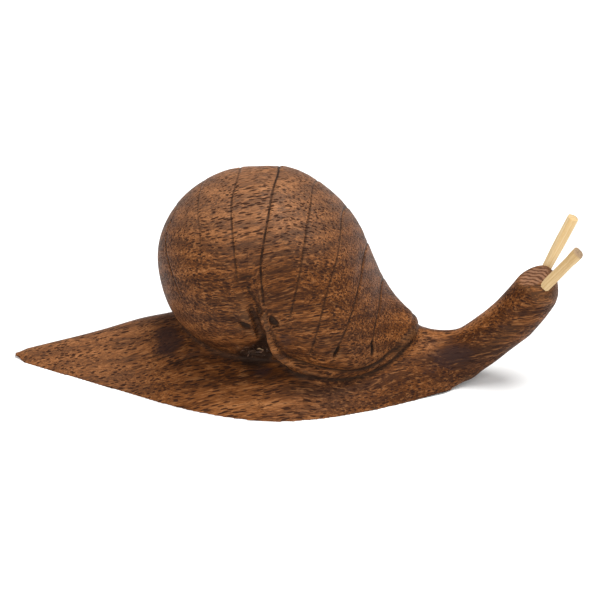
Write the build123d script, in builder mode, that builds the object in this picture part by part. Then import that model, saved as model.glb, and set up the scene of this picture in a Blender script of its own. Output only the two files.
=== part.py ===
from build123d import *

import os
from math import cos, hypot, radians, sin

# A hand-carved wooden snail on a flat, leaf-shaped foot, with two split bamboo
# pegs glued into its head as tentacles. Body and shell are one block of wood.
# Millimetres. +X points to the head, +Y to the snail's left, +Z up. The origin is
# on the flat underside of the foot, straight below the axis of the shell's ball.

# Foot, from the tip of the tail to where the neck leaves the ground
foot_length = 104.3
tail_reach = 55.0
foot_half_width = 26.0
foot_ridge_height = 13.0
tail_length_share = 0.36
tail_tip_share = 0.1
foot_stations_shares = (
    # along the foot, half width, ridge height, height of the middle of the flank
    (tail_length_share, 0.770, 1.000, 0.60),
    (0.400, 0.838, 1.045, 0.60),
    (0.470, 0.925, 1.080, 0.60),
    (0.580, 1.000, 1.080, 0.62),
    (0.690, 0.910, 1.020, 0.66),
    (0.800, 0.710, 0.960, 0.72),
    (0.885, 0.495, 0.900, 0.80),
    (0.955, 0.345, 0.720, 0.86),
    (1.000, 0.180, 0.380, 0.88),
)
flank_middle_share = 0.5

# A form runs straight from station to station, so a middle station is set between each two.
# It is this share of its two neighbours, less the other share of the two beyond them.
inner_share = 9 / 16
outer_share = 1 / 16

# Shell: half a ball behind its axis, and a mouth that flares forward and down
ball_radius = 21.4
ball_height = 27.0
mouth_length = 36.0
shoulder_share = 0.707
mouth_stations_shares = (
    # along the mouth, top and bottom from the ball's middle, half width, lower shoulder
    (0.000, 1.000, -1.000, 1.000, 0.707),
    (0.167, 1.026, -1.023, 0.991, 0.710),
    (0.333, 0.934, -1.069, 0.970, 0.725),
    (0.472, 0.777, -1.106, 0.945, 0.760),
    (0.583, 0.574, -1.134, 0.894, 0.770),
    (0.667, 0.338, -1.153, 0.824, 0.770),
    (0.736, 0.065, -1.171, 0.722, 0.770),
    (0.806, -0.180, -1.181, 0.611, 0.770),
    (0.889, -0.380, -1.190, 0.472, 0.760),
    (1.000, -0.555, -1.190, 0.278, 0.707),
)

# Crevice on both sides, where the mouth starts behind the ball's bulb
crevice_depth = 1.4
crevice_width = 1.6
crevice_top_rise = 4.0
crevice_bend_reach = 2.6
crevice_foot_reach = 4.6
crevice_foot_drop = 17.0

# Lip: the rolled rim of the shell, which lies on the roof of the foot
lip_thickness = 2.6
lip_nose_reach = 37.4
lip_shoulder_reach = 30.3
lip_shoulder_half_width = 11.4
lip_widest_reach = 16.2
lip_half_width = 16.8
lip_rear_reach = 5.0
lip_rear_half_width = 9.0
lip_edge_radius = 1.1

# The five growth lines that are cut deepest, across the mouth
growth_line_depth = 0.45
growth_line_width = 0.6
growth_line_overrun = 5.0
growth_lines_shares = (
    # distance ahead of the ball's middle, lean in degrees, drop of the lower end
    (0.210, 0.0, 0.07),
    (0.555, 8.0, 0.23),
    (0.830, 14.0, 0.93),
    (1.125, 14.0, 0.93),
    (1.340, 5.0, 0.93),
)

# Neck and head
head_reach = 63.6
head_height = 22.6
head_radius = 4.95
neck_root_reach = 35.0
neck_root_height = 6.3
neck_stations_shares = (
    # way ahead and up from the neck's root to the head's centre, radius
    (0.000, 0.000, 1.170),
    (0.254, -0.024, 1.100),
    (0.467, 0.012, 1.140),
    (0.638, 0.236, 1.100),
    (0.833, 0.572, 1.085),
    (1.000, 1.000, 1.000),
)
chin_reach = 47.2
chin_rise = 12.0
chin_run = 13.5

# Tentacles: split bamboo, a little wider than thick
peg_width = 2.5
peg_thickness = 2.2
peg_corner_radius = 0.8
peg_tip_chamfer = 0.3
peg_depth = 5.0
peg_clearance = 0.1
peg_mouth_clearance = 3.0
peg_base_reach = 1.82
peg_base_rise = 2.33
peg_base_spread = 3.97
right_peg_length = 13.75
right_peg_pitch_angle = 51.7
right_peg_splay_angle = -11.4
left_peg_length = 15.3
left_peg_pitch_angle = 63.5
left_peg_splay_angle = 20.0

os.makedirs("parts", exist_ok=True)


def peg_plane(side, pitch, splay):
    """The plane across a peg where it comes out of the head."""
    level = cos(radians(pitch))
    axis = Vector(level * cos(radians(splay)), level * sin(radians(splay)), sin(radians(pitch)))
    base = (head_reach + peg_base_reach, side * peg_base_spread, head_height + peg_base_rise)
    return Plane(origin=base, x_dir=Vector(0, 0, 1).cross(axis), z_dir=axis)


def with_middles(stations):
    """The stations with one more between each two, on a smooth run through them all."""
    run = [stations[0]]
    for index, (near, far) in enumerate(zip(stations, stations[1:])):
        before = stations[max(index - 1, 0)]
        after = stations[min(index + 2, len(stations) - 1)]
        middle = [
            inner_share * (near[place] + far[place]) - outer_share * (before[place] + after[place])
            for place in range(len(near))
        ]
        run += [tuple(middle), far]
    return run


def mouth_form(inset):
    """The mouth of the shell, from the ball's middle to the lip, set in by a distance."""
    with BuildPart() as form:
        with BuildSketch(Plane(origin=(0, 0, ball_height), x_dir=(0, 1, 0), z_dir=(1, 0, 0))):
            Circle(ball_radius - inset)
        stations = with_middles(mouth_stations_shares)
        for along, top_share, bottom_share, width_share, lower_share in stations[1:]:
            half_width = ball_radius * width_share - inset
            half_height = ball_radius * (top_share - bottom_share) / 2 - inset
            middle = ball_height + ball_radius * (top_share + bottom_share) / 2
            upper = (half_width * shoulder_share, half_height * shoulder_share)
            lower = (half_width * lower_share, half_height * lower_share)
            station = Plane(
                origin=(mouth_length * along, 0, middle),
                x_dir=(0, 1, 0),
                z_dir=(1, 0, 0),
            )
            outline = (
                (half_width, 0),
                upper,
                (0, half_height),
                (-upper[0], upper[1]),
                (-half_width, 0),
                (-lower[0], -lower[1]),
                (0, -half_height),
                (lower[0], -lower[1]),
            )
            with BuildSketch(station):
                with BuildLine():
                    even = list(range(len(outline) + 1))
                    add(Edge.make_spline(outline, periodic=True, parameters=even))
                make_face()
        loft(ruled=True)
    return form.part


def ball_form(inset):
    """The rear half of the ball, with its skin set in by a distance."""
    with BuildPart() as form:
        with Locations((0, 0, ball_height)):
            Sphere(ball_radius - inset, rotation=(0, -90, 0))
        split(bisect_by=Plane(origin=(0, 0, 0), z_dir=(-1, 0, 0)), keep=Keep.TOP)
    return form.part


def foot_form(stations_shares, lift, straight):
    """A stretch of the foot's roof, raised and widened by a distance."""
    with BuildPart() as form:
        for along, width, height, flank in stations_shares:
            half_width = foot_half_width * width + lift
            ridge = foot_ridge_height * height + lift
            middle = half_width * flank_middle_share
            station = Plane(
                origin=(foot_length * along - tail_reach, 0, 0),
                x_dir=(0, 1, 0),
                z_dir=(1, 0, 0),
            )
            with BuildSketch(station):
                with BuildLine():
                    outline = (
                        Vector(-half_width, 0),
                        Vector(-middle, ridge * flank),
                        Vector(0, ridge),
                        Vector(middle, ridge * flank),
                        Vector(half_width, 0),
                    )
                    roof = Edge.make_spline(outline, parameters=list(range(len(outline))))
                    add(roof)
                    Line(roof @ 1, roof @ 0)
                make_face()
        loft(ruled=straight)
    return form.part


def peg_form(plane, length):
    """One split bamboo peg, from the bottom of its hole to its cut tip."""
    with BuildPart() as form:
        with BuildSketch(plane.offset(-peg_depth)):
            RectangleRounded(peg_width, peg_thickness, peg_corner_radius)
        extrude(amount=peg_depth + length)
        chamfer(form.faces().sort_by(Axis(plane.origin, plane.z_dir))[-1].edges(), peg_tip_chamfer)
    return form.part


with BuildPart() as foot:
    root = foot_stations_shares[0]
    tip = (0.0,) + tuple(share * tail_tip_share for share in root[1:3]) + root[3:]
    add(foot_form((tip, root), 0, True))
    add(foot_form(with_middles(foot_stations_shares), 0, True))
    with BuildSketch(Plane.XZ):
        with BuildLine():
            Polyline(
                (chin_reach, 0),
                (chin_reach + chin_run, chin_rise),
                (chin_reach + chin_run, 0),
                close=True,
            )
        make_face()
    extrude(amount=foot_half_width, both=True, mode=Mode.SUBTRACT)

with BuildPart() as growth_lines:
    for along, lean, drop_share in growth_lines_shares:
        tilt = radians(lean)
        line_plane = Plane(
            origin=(ball_radius * along, 0, ball_height),
            x_dir=(0, 1, 0),
            z_dir=(cos(tilt), 0, -sin(tilt)),
        )
        drop = ball_radius * drop_share
        height = ball_radius + growth_line_overrun + drop
        with BuildSketch(line_plane):
            with Locations((0, height / 2 - drop)):
                Rectangle(2 * (ball_radius + growth_line_overrun), height)
        extrude(amount=growth_line_width / 2, both=True)
    add(mouth_form(growth_line_depth), mode=Mode.SUBTRACT)
    add(ball_form(growth_line_depth), mode=Mode.SUBTRACT)

with BuildPart() as crevice:
    with BuildSketch(Plane.XZ):
        with BuildLine():
            top = (0, ball_height + crevice_top_rise)
            bottom = (crevice_foot_reach, ball_height - crevice_foot_drop)
            middle_height = (top[1] + bottom[1]) / 2
            rear = ThreePointArc(top, (crevice_bend_reach, middle_height), bottom)
            front = ThreePointArc(
                top,
                (crevice_bend_reach + crevice_width, middle_height),
                (crevice_foot_reach + crevice_width, bottom[1]),
            )
            Line(rear @ 1, front @ 1)
        make_face()
    extrude(amount=ball_radius + growth_line_overrun, both=True)
    add(mouth_form(crevice_depth), mode=Mode.SUBTRACT)

with BuildPart() as shell:
    add(mouth_form(0))
    add(ball_form(0))
    add(growth_lines.part, mode=Mode.SUBTRACT)
    add(crevice.part, mode=Mode.SUBTRACT)

with BuildPart() as lip:
    with BuildSketch(Plane.XY):
        with BuildLine():
            edge = Spline(
                (lip_nose_reach, 0),
                (lip_shoulder_reach, lip_shoulder_half_width),
                (lip_widest_reach, lip_half_width),
                (lip_rear_reach, lip_rear_half_width),
                tangents=((0, 1), (-1, -2)),
            )
            mirror(about=Plane.XZ)
            Line(edge @ 1, (lip_rear_reach, -lip_rear_half_width))
        make_face()
    extrude(amount=ball_height)
    add(foot_form(foot_stations_shares, lip_thickness, False), mode=Mode.INTERSECT)
    rear_face = lip.faces().filter_by(GeomType.PLANE).sort_by(Axis.X)[0]
    rim = lip.faces().sort_by(Axis.Z)[-1].edges() - rear_face.edges()
    fillet(rim, lip_edge_radius)

with BuildPart() as neck:
    stations = with_middles(neck_stations_shares)
    for index, (reach_share, height_share, radius_share) in enumerate(stations):
        before = stations[max(index - 1, 0)]
        after = stations[min(index + 1, len(stations) - 1)]
        neck_run = head_reach - neck_root_reach
        neck_rise = head_height - neck_root_height
        station = Plane(
            origin=(
                neck_root_reach + neck_run * reach_share,
                0,
                neck_root_height + neck_rise * height_share,
            ),
            x_dir=(0, 1, 0),
            z_dir=(neck_run * (after[0] - before[0]), 0, neck_rise * (after[1] - before[1])),
        )
        with BuildSketch(station):
            Circle(head_radius * radius_share)
    loft(ruled=True)
    with Locations((head_reach, 0, head_height)):
        Sphere(head_radius)

right_peg_plane = peg_plane(-1, right_peg_pitch_angle, right_peg_splay_angle)
left_peg_plane = peg_plane(1, left_peg_pitch_angle, left_peg_splay_angle)

with BuildPart() as snail_carving:
    add(foot.part)
    add(shell.part)
    add(lip.part)
    add(neck.part)
    hole_radius = hypot(peg_width / 2 - peg_corner_radius, peg_thickness / 2 - peg_corner_radius)
    hole_radius += peg_corner_radius + peg_clearance
    for plane in (right_peg_plane, left_peg_plane):
        with BuildSketch(plane.offset(-peg_depth)):
            Circle(hole_radius)
        extrude(amount=peg_depth + peg_mouth_clearance, mode=Mode.SUBTRACT)
snail_carving.part.label = "snail_carving"
export_step(snail_carving.part, "parts/snail_carving.step")

with BuildPart() as right_tentacle:
    add(peg_form(right_peg_plane, right_peg_length))
right_tentacle.part.label = "right_tentacle"
export_step(right_tentacle.part, "parts/right_tentacle.step")

with BuildPart() as left_tentacle:
    add(peg_form(left_peg_plane, left_peg_length))
left_tentacle.part.label = "left_tentacle"
export_step(left_tentacle.part, "parts/left_tentacle.step")
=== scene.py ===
# %% [markdown]
# # A carved wooden snail
# The real snail is one block of brown hardwood, carved with knives and rubbed with wax. Two
# slivers of split bamboo are glued into its head as tentacles. The solid model gives the sizes
# and the places. This lesson takes that model and adds what a knife, a grain and a wax rag add.

# %% Load the solid model as the frame
import math

import bmesh
import bpy
import numpy as np
from mathutils import Matrix, Vector


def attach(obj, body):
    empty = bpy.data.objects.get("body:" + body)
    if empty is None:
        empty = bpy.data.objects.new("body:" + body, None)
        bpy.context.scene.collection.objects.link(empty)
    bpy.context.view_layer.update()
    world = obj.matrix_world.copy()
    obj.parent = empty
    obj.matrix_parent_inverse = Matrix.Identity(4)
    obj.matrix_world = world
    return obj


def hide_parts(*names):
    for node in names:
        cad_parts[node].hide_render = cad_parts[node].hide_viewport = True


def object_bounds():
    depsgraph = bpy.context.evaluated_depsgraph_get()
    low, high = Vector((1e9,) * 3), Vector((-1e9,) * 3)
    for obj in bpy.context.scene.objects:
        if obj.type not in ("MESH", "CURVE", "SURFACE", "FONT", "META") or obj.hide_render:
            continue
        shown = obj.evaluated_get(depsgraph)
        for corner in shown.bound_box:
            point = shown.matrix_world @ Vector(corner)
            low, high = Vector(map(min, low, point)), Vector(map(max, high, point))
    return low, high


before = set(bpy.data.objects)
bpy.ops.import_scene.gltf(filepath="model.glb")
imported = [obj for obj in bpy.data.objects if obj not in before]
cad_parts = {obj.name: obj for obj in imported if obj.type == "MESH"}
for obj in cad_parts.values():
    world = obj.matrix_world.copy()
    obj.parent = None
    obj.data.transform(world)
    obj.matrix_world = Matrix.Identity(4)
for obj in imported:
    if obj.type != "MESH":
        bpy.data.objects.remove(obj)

MM = 0.001
cad_low, cad_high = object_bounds()
cad_box = [list(cad_low), list(cad_high)]
print("solid model from", cad_box[0], "to", cad_box[1])

# %% [markdown]
# ## Small helpers
# Every finished piece is a plain mesh whose object stays at the origin. A run of a few given places
# is turned into a smooth run, so that a carved line bends like one stroke of a knife.

# %% Helpers for pieces and for smooth runs
def keep_piece(name, shape):
    piece = bpy.data.objects.new(name, shape)
    bpy.context.scene.collection.objects.link(piece)
    return piece


def made_plain(piece, name):
    """The piece with its modifiers worked into a plain mesh."""
    bpy.context.view_layer.update()
    graph = bpy.context.evaluated_depsgraph_get()
    mesh = bpy.data.meshes.new_from_object(piece.evaluated_get(graph))
    mesh.name = name
    return mesh


def smooth_run(stops, steps=12):
    """A smooth run through given places, as many small steps."""
    stops = np.array(stops, float)
    padded = np.vstack([2 * stops[0] - stops[1], stops, 2 * stops[-1] - stops[-2]])
    share = np.linspace(0, 1, steps, endpoint=False)[:, None]
    run = []
    for a, b, c, d in zip(padded, padded[1:], padded[2:], padded[3:]):
        run.append(
            0.5 * (2 * b + (c - a) * share + (2 * a - 5 * b + 4 * c - d) * share**2
                   + (3 * b - a - 3 * c + d) * share**3)
        )
    return np.vstack(run + [stops[-1:]])


def ramp(value, low, high):
    """0 below low, 1 above high and smooth between."""
    share = np.clip((value - low) / (high - low), 0, 1)
    return share * share * (3 - 2 * share)


def bell(far, reach):
    """1 where far is 0, falling to nothing in about twice the reach."""
    return np.exp(-(far / reach)**2)


def cloud(place, middle, size):
    """1 in the middle of a soft oval and nothing well outside it."""
    return np.exp(-(((place - middle) / size)**2).sum(1))


def triangles(mesh):
    return sum(len(face.vertices) - 2 for face in mesh.polygons)


# %% Helpers for meshes made point by point
def finished(work, name):
    """The mesh that the work has become."""
    mesh = bpy.data.meshes.new(name)
    work.to_mesh(mesh)
    work.free()
    return mesh


def tube(work, rings):
    """Faces between rings of points, and one more over each end."""
    for ring, following in zip(rings, rings[1:]):
        for column in range(len(ring)):
            after = (column + 1) % len(ring)
            work.faces.new((ring[column], ring[after], following[after], following[column]))
    work.faces.new(rings[0][::-1])
    work.faces.new(rings[-1])


# %% Helpers for node trees
def put(tree, kind, inputs=(), **settings):
    """Add one node. Each of its inputs gets a value or a link."""
    node = tree.nodes.new(kind)
    for name, value in settings.items():
        setattr(node, name, value)
    for name, value in dict(inputs).items():
        socket = node.inputs[name]
        if isinstance(value, bpy.types.NodeSocket):
            tree.links.new(value, socket)
        else:
            socket.default_value = value
    return node


def cleared(owner):
    owner.use_nodes = True
    owner.node_tree.nodes.clear()
    return owner.node_tree


def growing_tree(name, wanted):
    """A tree that grows a mesh from another shape, and what a modifier calls its inputs."""
    tree = bpy.data.node_groups.new(name, "GeometryNodeTree")
    face = tree.interface
    for way in ("INPUT", "OUTPUT"):
        face.new_socket("Geometry", in_out=way, socket_type="NodeSocketGeometry")
    called = {}
    for title, kind in wanted.items():
        socket = face.new_socket(title, in_out="INPUT", socket_type="NodeSocket" + kind)
        called[title] = socket.identifier
    return tree, called


def end_painted(tree, shape, paint):
    real = put(tree, "GeometryNodeRealizeInstances", {"Geometry": shape}).outputs["Geometry"]
    painted = put(tree, "GeometryNodeSetMaterial", {"Geometry": real, "Material": paint})
    put(tree, "NodeGroupOutput", {"Geometry": painted.outputs["Geometry"]})


def grown(start, name, tree, called, values):
    """The plain mesh that the tree grows from a curve or a mesh."""
    guide = keep_piece(name + "_guide", start)
    modifier = guide.modifiers.new(tree.name, "NODES")
    modifier.node_group = tree
    for title, value in values.items():
        modifier[called[title]] = value
    mesh = made_plain(guide, name)
    bpy.data.objects.remove(guide)
    return mesh


# %% [markdown]
# ## The rolled rim of the shell
# The mouth of the shell ends in a rolled rim. It comes out of the crevice on one side, lies round
# the roof of the foot and goes back into the crevice on the other side. It could be modelled by
# pushing points of a mesh, but a rim follows a path, so Geometry Nodes sweep a round section
# along one curve. The curve carries a radius at each place, because the rim thins out towards
# its ends.

# %% The rim's path, in millimetres, on the snail's near side
rim_half_path = (
    # ahead, out to the side, up, radius
    (4.7, 20.8, 24.6, 0.25),
    (5.2, 20.6, 21.6, 0.55),
    (5.7, 19.6, 18.2, 0.85),
    (6.5, 17.8, 14.8, 1.05),
    (7.8, 16.0, 11.8, 1.15),
    (9.9, 15.1, 9.7, 1.25),
    (12.8, 15.2, 8.6, 1.35),
    (16.0, 15.4, 8.0, 1.40),
    (19.4, 15.1, 7.7, 1.40),
    (22.9, 14.1, 7.6, 1.40),
    (26.3, 12.6, 7.9, 1.35),
    (29.5, 10.6, 8.7, 1.30),
    (32.4, 8.2, 10.0, 1.25),
    (34.8, 5.2, 11.7, 1.20),
)
rim_nose = (36.0, 0.0, 13.1, 1.15)
near_half = [(x, -y, z, r) for x, y, z, r in rim_half_path]
rim_path = smooth_run(near_half + [rim_nose] + list(rim_half_path[::-1]), 8)

# %% Sweep the rim with Geometry Nodes
rim_curve = bpy.data.curves.new("rim_path", "CURVE")
rim_curve.dimensions = "3D"
rim_spline = rim_curve.splines.new("POLY")
rim_spline.points.add(len(rim_path) - 1)
for point, (x, y, z, radius) in zip(rim_spline.points, rim_path):
    point.co = (x * MM, y * MM, z * MM, 1)
    point.radius = radius

rim_wanted = {"Radius of one": "Float", "Sides": "Int", "Wood": "Material"}
rim_tree, rim_called = growing_tree("rolled rim", rim_wanted)
rim_given = put(rim_tree, "NodeGroupInput").outputs
rim_round = {"Radius": rim_given["Radius of one"], "Resolution": rim_given["Sides"]}
rim_circle = put(rim_tree, "GeometryNodeCurvePrimitiveCircle", rim_round).outputs["Curve"]
rim_along = {"Curve": rim_given["Geometry"], "Profile Curve": rim_circle, "Fill Caps": True}
rim_sweep = put(rim_tree, "GeometryNodeCurveToMesh", rim_along).outputs["Mesh"]
end_painted(rim_tree, rim_sweep, rim_given["Wood"])

waxed_wood = bpy.data.materials.new("waxed_hardwood")
rim_values = {"Radius of one": MM, "Sides": 16, "Wood": waxed_wood}
rim_mesh = grown(rim_curve, "rim_mesh", rim_tree, rim_called, rim_values)
print("rim of", len(rim_mesh.polygons), "faces")

# %% [markdown]
# ## One skin for body, shell and rim
# On the real snail there is no joint: the knife goes from the foot into the shell. The solid's
# mesh is copied, its doubles are merged, the rim is laid into it, and a voxel remesh grows one
# closed skin over both. The quads that it leaves are small and even, which carving needs. The
# crevice between ball and flare is too deep to press into that skin: its sides would fold over
# each other. So it is cut out by a wedge on each side, and a second remesh closes the skin again.

# %% The wedge that opens the crevice, from the top down, on the near side
wedge_steps = (
    # flare's edge, ball's edge, bottom
    ((1.2, -21.4, 31), (1.1, -21.4, 30.9), (1.2, -21, 30.9)),
    ((2.5, -21.1, 28.9), (2.2, -21.1, 28.7), (2.5, -20.3, 28.7)),
    ((3.4, -21.1, 27.3), (2.8, -21.1, 27.2), (3.3, -19.8, 27)),
    ((4.3, -21, 25.4), (3.4, -21.1, 25.4), (4.1, -19, 25.2)),
    ((4.7, -20.8, 23.7), (3.8, -20.8, 23.7), (4.6, -18.4, 23.4)),
    ((5, -20.5, 22.2), (4.2, -20.5, 22.2), (4.9, -17.9, 21.8)),
    ((5.1, -20, 20.4), (4.3, -20, 20.4), (5.1, -17.2, 19.8)),
    ((5.2, -19.3, 18.4), (4.1, -19.3, 18.3), (5, -16.2, 17.2)),
    ((5.4, -18.6, 16.7), (3.3, -18.5, 16.5), (4.6, -15, 15)),
    ((5.7, -17.7, 15), (1.4, -17.6, 15), (3.8, -13.6, 13)),
    ((6.1, -16.9, 13.3), (-1.2, -16.7, 13.5), (2.8, -12.2, 11.4)),
    ((6.6, -16, 11.8), (-3.6, -15.2, 11.9), (2, -11.2, 10.2)),
    ((7, -15, 10.5), (-5, -14, 10.6), (1.6, -10.8, 9.9)),
)


def wedge(side):
    """A closed wedge along the crevice, standing out of the wood by 3 mm."""
    work = bmesh.new()
    rings = []
    for flare_edge, ball_edge, bottom in wedge_steps:
        corners = ((flare_edge, 3), (flare_edge, 0), (bottom, 0), (ball_edge, 0), (ball_edge, 3))
        rings.append([
            work.verts.new(Vector((x, -side * (y - out), z)) * MM) for (x, y, z), out in corners
        ])
    tube(work, rings)
    bmesh.ops.triangulate(work, faces=work.faces)
    bmesh.ops.recalc_face_normals(work, faces=work.faces)
    return keep_piece("wedge", finished(work, "wedge"))


# %% Grow the skin
skin_pitch = 0.5
# balls of wood that fill the solid's peg holes: middle, radius
head_fillings = (((63.6, 0, 22.6), 4.92), ((62.2, 0, 20.4), 4.85))
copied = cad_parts["snail_carving"].data.copy()
block_work = bmesh.new()
block_work.from_mesh(copied)
bmesh.ops.remove_doubles(block_work, verts=block_work.verts, dist=0.01 * MM)
block_work.from_mesh(rim_mesh)
for middle, radius in head_fillings:
    at_middle = Matrix.Translation(Vector(middle) * MM)
    bmesh.ops.create_icosphere(block_work, subdivisions=4, radius=radius * MM, matrix=at_middle)
block = keep_piece("block", finished(block_work, "block"))
block_skin = block.modifiers.new("skin", "REMESH")
block_skin.mode = "VOXEL"
block_skin.voxel_size = skin_pitch * MM
wedges = [wedge(-1), wedge(1)]
for knife in wedges:
    opening = block.modifiers.new("opening", "BOOLEAN")
    opening.operation = "DIFFERENCE"
    opening.solver = "EXACT"
    opening.object = knife
block_again = block.modifiers.new("skin again", "REMESH")
block_again.mode = "VOXEL"
block_again.voxel_size = skin_pitch * MM
block_again.use_smooth_shade = True
skin = made_plain(block, "skin")
for spent in [block] + wedges:
    bpy.data.objects.remove(spent)
print("skin of", len(skin.polygons), "quads")

# %% [markdown]
# ## Where the knife went
# The lines on the shell are growth lines. Seen from the side each is a gentle curve, and they
# lean forward more and more towards the mouth. So each is set by a few stops of its side view,
# how far ahead at which height, and serves both sides of the snail. Furrows, cracks and gouges
# are single strokes of a knife and are set in space.

# %% Growth lines, in millimetres, seen from the side
growth_lines = (
    # strength, stops (ahead, up) from the top down
    (0.75, ((-16.6, 41), (-17.6, 38.6), (-18.4, 36), (-18.3, 33.5), (-17.3, 31),
            (-15.8, 28), (-14.2, 25.2))),
    (0.45, ((-11, 46.5), (-11.6, 44.8), (-11.3, 43), (-10.2, 40), (-9.8, 36), (-9.6, 33))),
    (0.75, ((-2.7, 49.4), (-3.2, 47.6), (-3.6, 45.8), (-2.9, 42), (-2.1, 38), (-1.5, 34.5),
            (-1.1, 31.5))),
    (1.00, ((6, 49.5), (5.3, 47.6), (4.9, 44), (4.4, 40), (4, 35.5), (4.5, 30), (5, 26))),
    (0.70, ((13.3, 47), (13.8, 44.8), (13.5, 41), (13, 36.8), (12.3, 32), (11.3, 27), (10.2, 22))),
    (0.70, ((19.6, 42.5), (20.6, 38.5), (20.3, 35), (19, 30.5), (17.8, 25.5), (16.4, 19.5),
            (14.7, 13.2))),
    (0.85, ((23.6, 36), (25.1, 32.5), (25.4, 30), (24.8, 26), (23.4, 21.5), (21.6, 17), (20, 12))),
    (0.75, ((27.4, 27.5), (28.9, 24.2), (29.3, 21.6), (28.9, 18.5), (28.4, 14.5), (28.2, 10.6))),
)

# %% Single strokes: furrows, with their depth, and cracks and gouges
crevice_top = (
    (0.6, -21.3, 31.4, 0.10), (1.5, -21.2, 29.9, 0.70), (2.5, -21.1, 28.3, 1.00),
    (3.4, -21, 26.6, 1.00), (4.1, -20.8, 25, 0.80),
)
furrows = (
    ((-4.2, -20.8, 27.4, 0.05), (-3.3, -20.9, 25.6, 0.30), (-2.2, -20.9, 23.7, 0.55),
     (-1, -20.7, 21.9, 0.80), (0.4, -20.8, 20.9, 1.00), (2.2, -20.9, 20.4, 0.80)),
    crevice_top,
    tuple((x, -y, z, depth) for x, y, z, depth in crevice_top),
    ((-3.6, 20.9, 27, 0.05), (-2.4, 20.9, 24.4, 0.50), (-1.2, 20.7, 22, 0.80),
     (0.6, 20.8, 20.7, 0.95)),
)
furrow_half_width = 0.75
cracks = (
    ((-12.1, -17, 31.2, 0.2), (-8.3, -18.1, 33.6, 1), (-4.6, -18.6, 35.2, 0.9),
     (-1.4, -19.1, 36.3, 0.2)),
    ((-1.1, -20.4, 32.8, 0.4), (1.2, -20.5, 33.3, 1), (3.8, -20.4, 34, 0.3)),
    ((4.7, -20.4, 31.8, 0.4), (7, -20.2, 32, 0.9), (9.1, -19.6, 32.1, 0.3)),
    ((-24.1, -10.9, 4.5, 0.2), (-18.9, -10.2, 7, 0.9), (-11, -9.5, 9.6, 0.5)),
    ((-27, -10, 4.2, 0.1), (-20.6, -9.4, 7, 0.8), (-13.4, -8.2, 10.1, 0.3)),
    ((-22.1, -12.5, 4, 0.2), (-15.3, -11.7, 7, 0.9), (-9.7, -10.8, 8.8, 0.4)),
    ((-30, -8.1, 4.6, 0.2), (-26, -8, 6.2, 0.7), (-22.7, -7.8, 7.6, 0.1)),
    ((-28, -10.9, 3, 0.2), (-25, -10.8, 4.2, 0.8), (-22.3, -10.6, 5.5, 0.1)),
    ((-22, 12.3, 4.2, 0.2), (-15.6, 11.6, 7, 0.9), (-10, 10.7, 8.8, 0.3)),
    ((-26.4, 9.8, 4.8, 0.1), (-20.4, 9.2, 7.2, 0.8), (-14, 8.4, 9.9, 0.3)),
    ((14.6, -15.7, 8.9, 0.3), (18, -16.1, 9.1, 1), (22, -16.3, 9.3, 0.3)),
    ((-9, 18.4, 29, 0.2), (-5, 19.6, 30.2, 1), (-0.5, 20.4, 31, 0.2)),
)
crack_half_width = 0.24
gouges = (
    # middle, direction, half length, half width, depth, darkness of its painted shade
    ((6.9, -20.4, 22.6), (0.50, 0.10, -0.86), 2.1, 1, 0.75, 1),
    ((6.4, 20.5, 22.9), (0.40, 0.10, -0.90), 2.3, 0.8, 0.65, 0.8),
    ((20.9, -18.4, 14.8), (-0.42, 0.05, -0.90), 2.2, 0.55, 0.60, 1),
    ((15.2, -18.6, 15.2), (-0.35, 0.02, -0.93), 1.7, 0.40, 0.35, 0.7),
    ((28.5, -13.6, 13.6), (-0.05, 0.10, -0.99), 3.1, 0.60, 0.60, 1),
    ((21.4, 18.1, 16), (-0.40, -0.05, -0.90), 2.4, 0.50, 0.50, 0.9),
    ((28.4, 13.4, 13), (-0.05, -0.10, -0.99), 1.8, 0.55, 0.50, 0.9),
    ((17.6, -15.9, 9.6), (1.00, 0.06, -0.04), 3.3, 0.50, 0.50, 1),
    ((14.4, 15.8, 9.9), (1.00, -0.05, -0.08), 2.8, 0.45, 0.40, 0.9),
    ((0.6, -20.4, 21), (0.85, 0.10, -0.45), 1.8, 1, 0.55, 0.95),
)

# %% Where the real block is fuller than the solid, and the flat cut on the head
fuller_places = (
    # middle, reach, amount
    ((2, 0, 49), (13, 16, 8), 0.40),
    ((-18, 0, 36), (7, 20, 8), 0.25),
    ((-24, 8, 6.5), (7, 9, 5), 0.70),
    ((66, -1, 27.5), (3.2, 7, 4), 1.90),
    ((66.2, -5, 24.2), (2.6, 3, 2.6), 0.60),
    ((67.6, -1, 19.5), (3.4, 6, 4.5), 0.50),
    ((64.5, -1.5, 15.2), (4.5, 6, 4.5), 0.35),
    ((49.4, -2, 1.9), (3.6, 7, 2.6), 1.10),
    ((43.5, 0, 0.8), (4.5, 14, 2), -1.00),
    ((36.5, -4, 12.5), (2.5, 3.5, 3), 0.50),
    ((58, -2, 9), (5, 7, 3.5), -0.35),
    ((36.5, 0, 14), (3, 6, 3), 0.35),
)
facet_middle = (64.0, -0.5, 27.45)
facet_facing = (-0.38, -0.22, 0.90)

# %% Distances from the strokes
FLARE_EDGE, BALL_EDGE, BOTTOM = 0, 1, 2


def side_distance(place, outward, stops):
    """How far ahead of a growth line each point lies, measured on the surface."""
    run = smooth_run(stops)[::-1]
    ahead = np.interp(place[:, 2], run[:, 1], run[:, 0])
    lean = np.interp(place[:, 2], run[:, 1], np.gradient(run[:, 0], run[:, 1]))
    level = 1 / np.sqrt(1 + lean**2)
    facing = outward[:, 0] * level - outward[:, 2] * lean * level
    return (place[:, 0] - ahead) * level / np.sqrt(np.clip(1 - facing**2, 0.06, 1))


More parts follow.
